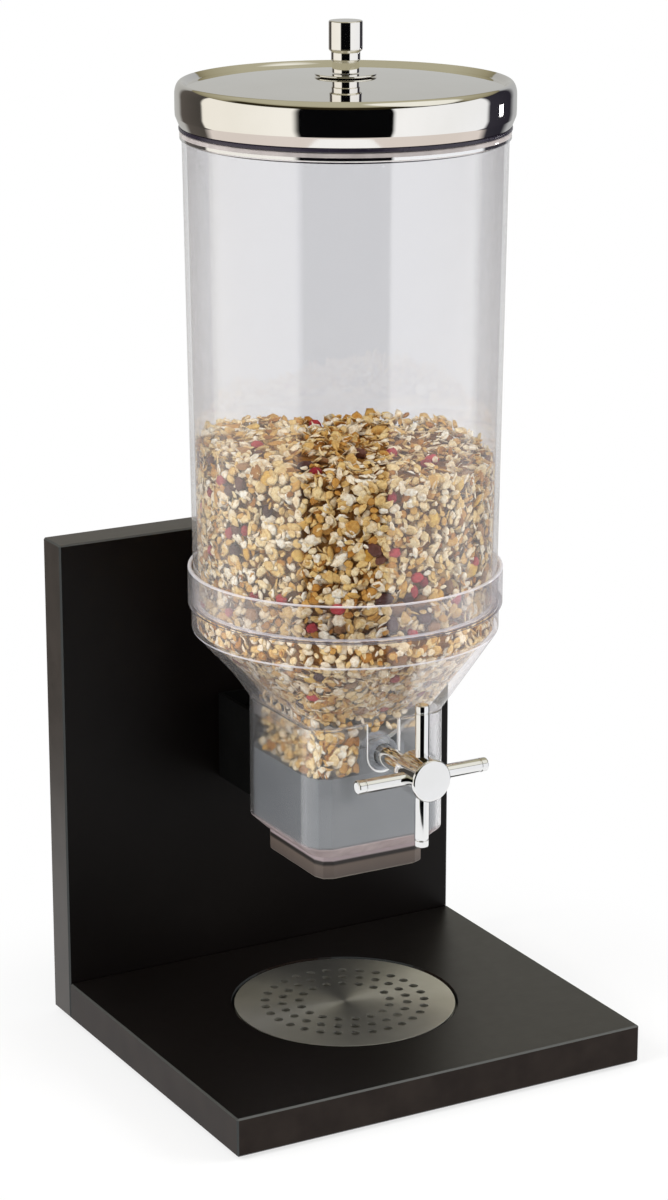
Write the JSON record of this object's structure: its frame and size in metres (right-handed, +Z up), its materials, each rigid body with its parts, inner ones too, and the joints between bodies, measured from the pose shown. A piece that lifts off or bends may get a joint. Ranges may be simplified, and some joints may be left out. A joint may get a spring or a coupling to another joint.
{
  "type": "cereal dispenser",
  "caption": "Table-top dry food dispenser: clear canister and hopper on a black board stand, with a portion wheel turned by a cross handle above a crumb tray.",
  "frame": {"origin": "on the table under the middle of the stand's footprint", "axes": "+Z up, -Y the front with the handle, +X to the right seen from the front"},
  "size_m": [0.22, 0.201, 0.5012],
  "materials": {
    "black_laminated_board": "black satin laminate on 19 mm board",
    "polished_steel": "mirror-polished stainless steel",
    "brushed_steel": "brushed stainless steel",
    "chromed_brass": "bright chrome plate on turned brass",
    "blackened_steel": "blackened steel",
    "black_painted_steel": "matt black powder coat on folded sheet",
    "clear_plastic": "clear moulded acrylic, polished",
    "satin_clear_plastic": "clear moulded plastic with a satin outside",
    "smoke_grey_plastic": "smoke grey moulded plastic",
    "dark_plastic": "dark soft plastic seal",
    "natural_nylon": "natural nylon",
    "pale_silicone": "soft pale silicone",
    "black_rubber": "black rubber pad",
    "beech_dowel": "fluted beech dowel"
  },
  "bodies": {
    "stand": {"base_board": "black_laminated_board", "back_panel": "black_laminated_board", "panel_screw_left": "brushed_steel", "panel_screw_middle": "brushed_steel", "panel_screw_right": "brushed_steel", "dowel_left": "beech_dowel", "dowel_right": "beech_dowel", "foot_pad_front_left": "black_rubber", "foot_pad_front_right": "black_rubber", "foot_pad_rear_left": "black_rubber", "foot_pad_rear_right": "black_rubber", "wall_bracket": "black_painted_steel", "wall_screw_lower_left": "blackened_steel", "wall_screw_lower_right": "blackened_steel", "wall_screw_upper_left": "blackened_steel", "wall_screw_upper_right": "blackened_steel", "housing_screw_lower_left": "blackened_steel", "housing_screw_lower_right": "blackened_steel", "housing_screw_upper_left": "blackened_steel", "housing_screw_upper_right": "blackened_steel", "outlet_housing": "satin_clear_plastic", "rotor_cradle": "smoke_grey_plastic", "front_bush": "natural_nylon", "rear_bush": "natural_nylon"},
    "wheel": {"shaft": "polished_steel", "shaft_clip": "blackened_steel", "portion_wheel": "pale_silicone", "drive_pin": "blackened_steel", "handle_hub": "chromed_brass", "hub_grub_screw": "blackened_steel", "spoke_right": "chromed_brass", "spoke_up": "chromed_brass", "spoke_left": "chromed_brass", "spoke_down": "chromed_brass"},
    "hopper_body": {"hopper": "clear_plastic"},
    "canister_body": {"canister": "clear_plastic"},
    "lid_body": {"lid": "polished_steel", "lid_seal": "dark_plastic", "knob_washer": "polished_steel", "lid_knob": "polished_steel", "knob_screw": "brushed_steel"},
    "dish_body": {"crumb_dish": "brushed_steel"},
    "plate_body": {"crumb_plate": "polished_steel"}
  },
  "joints": [
    {"name": "handle_turn", "type": "hinge", "parent": "stand", "child": "wheel", "pos_m": [0, -0.004, 0.1605], "axis": [0, -1, 0], "continuous": true},
    {"name": "hopper_lift", "type": "slide", "parent": "stand", "child": "hopper_body", "axis": [0, 0, 1], "range_m": [0, 0.06]},
    {"name": "canister_lift", "type": "slide", "parent": "hopper_body", "child": "canister_body", "axis": [0, 0, 1], "range_m": [0, 0.06]},
    {"name": "lid_lift", "type": "slide", "parent": "canister_body", "child": "lid_body", "axis": [0, 0, 1], "range_m": [0, 0.06]},
    {"name": "crumb_dish_lift", "type": "slide", "parent": "stand", "child": "dish_body", "axis": [0, 0, 1], "range_m": [0, 0.03]},
    {"name": "crumb_plate_lift", "type": "slide", "parent": "dish_body", "child": "plate_body", "axis": [0, 0, 1], "range_m": [0, 0.03]}
  ]
}
